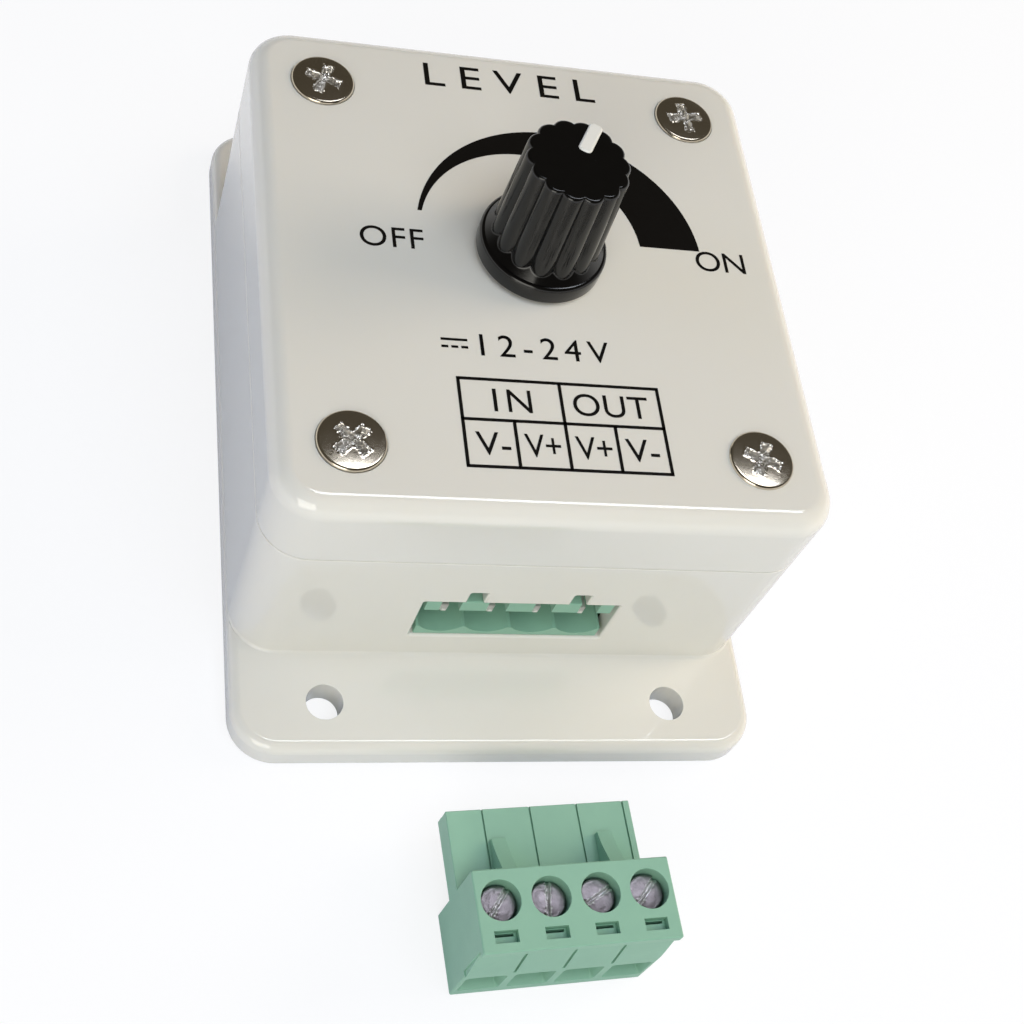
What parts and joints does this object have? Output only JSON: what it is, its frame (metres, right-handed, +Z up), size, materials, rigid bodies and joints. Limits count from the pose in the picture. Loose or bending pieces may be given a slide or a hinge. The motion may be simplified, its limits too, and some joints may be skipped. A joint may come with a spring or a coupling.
{
  "type": "led dimmer",
  "caption": "Low-voltage rotary dimmer in a flanged plastic case, with a fluted knob on its screwed lid, a pin header in its front window and a screw-terminal plug.",
  "frame": {"origin": "centre of the four mounting holes, on the case's underside", "axes": "+Z up through the lid towards the knob, -Y out of the connector window, +X to the right seen from the connector"},
  "size_m": [0.0584, 0.1095, 0.0483],
  "materials": {
    "case_plastic": "gloss",
    "screw_steel": "plated",
    "connector_plastic": "satin",
    "contact_metal": "tinned",
    "knob_plastic": "satin gloss",
    "pointer_plastic": "satin",
    "board_laminate": "satin",
    "component_plastic": "matte",
    "resistor_coating": "satin",
    "capacitor_can": "sleeved",
    "control_metal": "plated",
    "control_phenolic": "matte",
    "lead_insulation": "satin"
  },
  "bodies": {
    "case": {"base_housing": "case_plastic", "lid": "case_plastic", "lid_screws": "screw_steel", "circuit_board": "board_laminate", "board_screws": "screw_steel", "header_housing": "connector_plastic", "header_pins": "contact_metal", "power_transistor": "component_plastic", "timer_chip": "component_plastic", "voltage_regulator": "component_plastic", "filter_capacitor": "capacitor_can", "disc_capacitors": "resistor_coating", "flyback_diode": "component_plastic", "resistors": "resistor_coating", "pot_bushing": "control_metal", "pot_washer": "control_metal", "pot_nut": "control_metal", "pot_wafer": "control_phenolic", "pot_case": "control_metal", "pot_terminals": "contact_metal", "pot_leads": "lead_insulation", "plug_housing": "connector_plastic", "plug_contacts": "contact_metal"},
    "knob": {"knob": "knob_plastic", "knob_pointer": "pointer_plastic", "pot_shaft": "control_metal", "pot_wiper": "control_phenolic"},
    "terminal_screw_1": {"terminal_screw_1": "screw_steel"},
    "wire_clamp_1": {"wire_clamp_1": "contact_metal"},
    "terminal_screw_2": {"terminal_screw_2": "screw_steel"},
    "wire_clamp_2": {"wire_clamp_2": "contact_metal"},
    "terminal_screw_3": {"terminal_screw_3": "screw_steel"},
    "wire_clamp_3": {"wire_clamp_3": "contact_metal"},
    "terminal_screw_4": {"terminal_screw_4": "screw_steel"},
    "wire_clamp_4": {"wire_clamp_4": "contact_metal"}
  },
  "joints": [
    {"name": "knob_turn", "type": "hinge", "parent": "case", "child": "knob", "pos_m": [0.0005, 0.0013, 0], "axis": [0, 0, 1], "range_deg": [-122.5, 177.5]},
    {"name": "terminal_screw_1_turn", "type": "hinge", "parent": "case", "child": "terminal_screw_1", "pos_m": [-0.00565, -0.06186, 0], "axis": [0, 0, -1], "range_deg": [0, 1440.1]},
    {"name": "wire_clamp_1_lift", "type": "slide", "parent": "case", "child": "wire_clamp_1", "axis": [0, 0, 1], "range_m": [0, 0.002]},
    {"name": "terminal_screw_2_turn", "type": "hinge", "parent": "case", "child": "terminal_screw_2", "pos_m": [-0.00057, -0.06163, 0], "axis": [0, 0, -1], "range_deg": [0, 1440.1]},
    {"name": "wire_clamp_2_lift", "type": "slide", "parent": "case", "child": "wire_clamp_2", "axis": [0, 0, 1], "range_m": [0, 0.002]},
    {"name": "terminal_screw_3_turn", "type": "hinge", "parent": "case", "child": "terminal_screw_3", "pos_m": [0.0045, -0.06139, 0], "axis": [0, 0, -1], "range_deg": [0, 1440.1]},
    {"name": "wire_clamp_3_lift", "type": "slide", "parent": "case", "child": "wire_clamp_3", "axis": [0, 0, 1], "range_m": [0, 0.002]},
    {"name": "terminal_screw_4_turn", "type": "hinge", "parent": "case", "child": "terminal_screw_4", "pos_m": [0.00958, -0.06115, 0], "axis": [0, 0, -1], "range_deg": [0, 1440.1]},
    {"name": "wire_clamp_4_lift", "type": "slide", "parent": "case", "child": "wire_clamp_4", "axis": [0, 0, 1], "range_m": [0, 0.002]}
  ],
  "couplings": [
    {"joint": "terminal_screw_1_turn", "follows": "wire_clamp_1_lift", "rad_per_m": 12566},
    {"joint": "terminal_screw_2_turn", "follows": "wire_clamp_2_lift", "rad_per_m": 12566},
    {"joint": "terminal_screw_3_turn", "follows": "wire_clamp_3_lift", "rad_per_m": 12566},
    {"joint": "terminal_screw_4_turn", "follows": "wire_clamp_4_lift", "rad_per_m": 12566}
  ]
}
